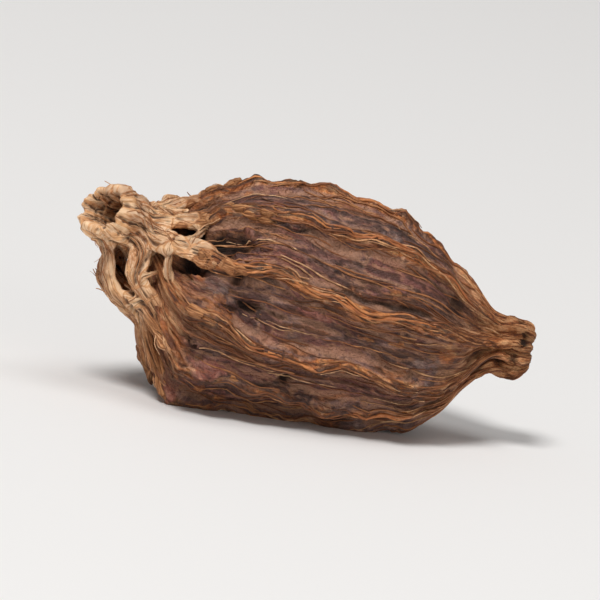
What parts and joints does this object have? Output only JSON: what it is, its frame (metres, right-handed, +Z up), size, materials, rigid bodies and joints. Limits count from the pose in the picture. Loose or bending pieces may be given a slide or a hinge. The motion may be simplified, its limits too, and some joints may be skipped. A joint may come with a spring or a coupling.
{
  "type": "black cardamom pod",
  "caption": "Whole dried spice pod: an egg-shaped, ridged brown husk with a pitted knob at its narrow end and a hollow, strand-tied flower stub at its broad end.",
  "frame": {"origin": "middle of the bounding box's footprint, on the surface that the pod lies on", "axes": "+X along the pod towards its narrow end, +Y to its back, +Z up"},
  "size_m": [0.0319, 0.0159, 0.0156],
  "materials": {
    "dried_husk": "dull, dry and fibrous, tan on the ridges and the flower stub"
  },
  "bodies": {
    "root": {"pod": "dried_husk"}
  },
  "joints": []
}
